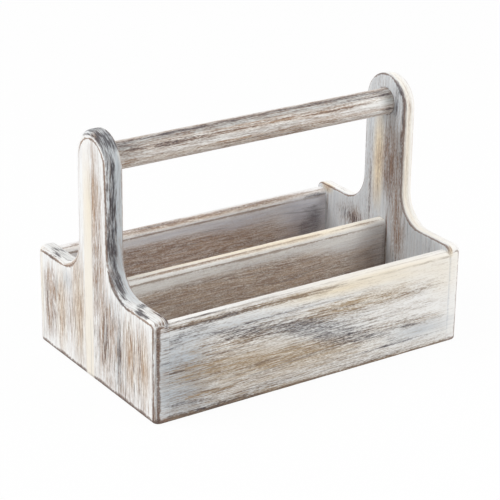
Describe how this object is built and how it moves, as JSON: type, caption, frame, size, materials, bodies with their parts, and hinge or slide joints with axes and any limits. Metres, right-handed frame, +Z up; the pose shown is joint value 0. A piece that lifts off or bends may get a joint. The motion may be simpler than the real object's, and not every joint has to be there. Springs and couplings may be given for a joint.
{
  "type": "table caddy",
  "caption": "Open wooden caddy: end panels that rise into round-topped uprights carry a round handle over a shallow box with a lengthwise divider.",
  "frame": {"origin": "middle of the footprint, on the surface that the caddy stands on", "axes": "+X along the handle, +Y from the front board to the back board, +Z up"},
  "size_m": [0.25, 0.158, 0.178],
  "materials": {
    "left_end_wood": "whitewashed, sanded through at the arrises",
    "right_end_wood": "whitewashed, sanded through at the arrises",
    "front_board_wood": "whitewashed, sanded through at the arrises",
    "back_board_wood": "whitewashed, sanded through at the arrises",
    "divider_wood": "whitewashed, sanded through at the arrises",
    "base_wood": "thinly whitewashed",
    "handle_wood": "whitewashed, worn by hands",
    "pin_wood": "bare"
  },
  "bodies": {
    "root": {"left_end_panel": "left_end_wood", "right_end_panel": "right_end_wood", "front_board": "front_board_wood", "back_board": "back_board_wood", "divider": "divider_wood", "base_panel": "base_wood", "handle_rod": "handle_wood", "front_board_pins": "pin_wood", "back_board_pins": "pin_wood"}
  },
  "joints": []
}
